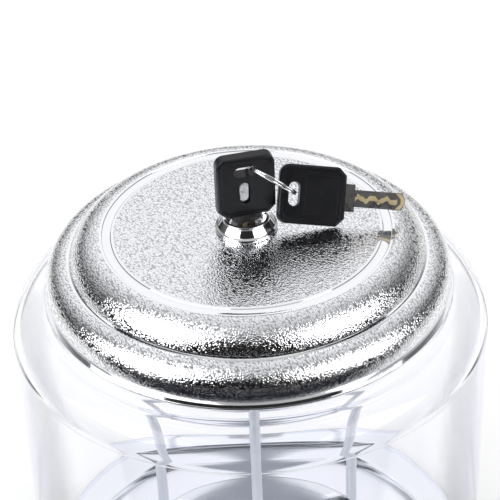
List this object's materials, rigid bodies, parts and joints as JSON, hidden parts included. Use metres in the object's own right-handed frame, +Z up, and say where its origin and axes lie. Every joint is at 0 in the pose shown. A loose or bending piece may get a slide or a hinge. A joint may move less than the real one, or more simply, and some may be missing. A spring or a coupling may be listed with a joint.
{
  "type": "donation box",
  "caption": "Round clear donation canister with a grained chrome lift-off lid, central key lock with keys on a split ring, coin slot, tie rods and chrome base.",
  "frame": {"origin": "centre of the floor under the rubber feet, on the barrel's axis", "axes": "+Z up along the barrel's axis, front with the coin slot towards -Y, +X to the right seen from the front"},
  "size_m": [0.2248, 0.2248, 0.2665],
  "materials": {
    "chrome_plate": "chrome-plated moulding with a fine leather-like grain",
    "bright_chrome": "smooth mirror chrome",
    "dark_nickel": "dark nickel, brushed along its length, brass showing in the cut tracks",
    "zinc_steel": "zinc-plated steel, slightly bluish",
    "ring_steel": "polished spring steel",
    "lock_brass": "machined brass, nickel flashed",
    "black_plastic": "satin black moulded plastic",
    "clear_plastic": "clear moulded plastic with a faint cool tint",
    "spun_aluminium": "polished spun aluminium",
    "black_rubber": "matt rubber"
  },
  "bodies": {
    "canister": {"barrel": "clear_plastic", "barrel_gasket": "black_rubber", "base_ring": "chrome_plate", "base_plate": "black_plastic", "base_screws": "zinc_steel", "rubber_feet": "black_rubber", "money_dish": "spun_aluminium", "dish_nuts": "zinc_steel", "dish_washers": "zinc_steel", "base_nuts": "zinc_steel", "centre_rod": "zinc_steel", "left_rod": "zinc_steel", "right_rod": "zinc_steel", "bridge_bar": "zinc_steel", "bridge_nuts": "zinc_steel", "bridge_washer": "zinc_steel", "keeper_bar": "zinc_steel", "keeper_nuts": "zinc_steel", "slot_surround": "bright_chrome", "slot_backing": "zinc_steel", "slot_screws": "bright_chrome", "slot_nuts": "zinc_steel"},
    "lid": {"lid_shell": "chrome_plate", "lock_collar": "bright_chrome", "lock_housing": "bright_chrome", "lock_washer": "zinc_steel", "lock_nut": "lock_brass"},
    "plug": {"lock_plug": "dark_nickel", "lock_cam": "zinc_steel", "cam_screw": "zinc_steel", "cam_washer": "zinc_steel"},
    "lock_key": {"lock_key_head": "black_plastic", "lock_key_blade": "dark_nickel"},
    "key_ring": {"split_ring": "ring_steel"},
    "spare_key": {"spare_key_head": "black_plastic", "spare_key_blade": "dark_nickel"}
  },
  "joints": [
    {"name": "lid_lift", "type": "slide", "parent": "canister", "child": "lid", "axis": [0, 0, 1], "range_m": [0, 0.08]},
    {"name": "plug_turn", "type": "hinge", "parent": "lid", "child": "plug", "pos_m": [0, 0, 0.22], "axis": [0, 0, 1], "range_deg": [0, 90]},
    {"name": "key_pull", "type": "slide", "parent": "plug", "child": "lock_key", "axis": [0, 0, 1], "range_m": [0, 0.03]},
    {"name": "ring_swing", "type": "hinge", "parent": "lock_key", "child": "key_ring", "pos_m": [0.00175, 0.0004, 0.2602], "axis": [0.3326, -0.8747, 0.3526], "range_deg": [0, 40]},
    {"name": "spare_swing", "type": "hinge", "parent": "key_ring", "child": "spare_key", "pos_m": [0.02048, 0.00168, 0.24572], "axis": [0.3326, -0.8747, 0.3526], "range_deg": [0, 20]}
  ]
}
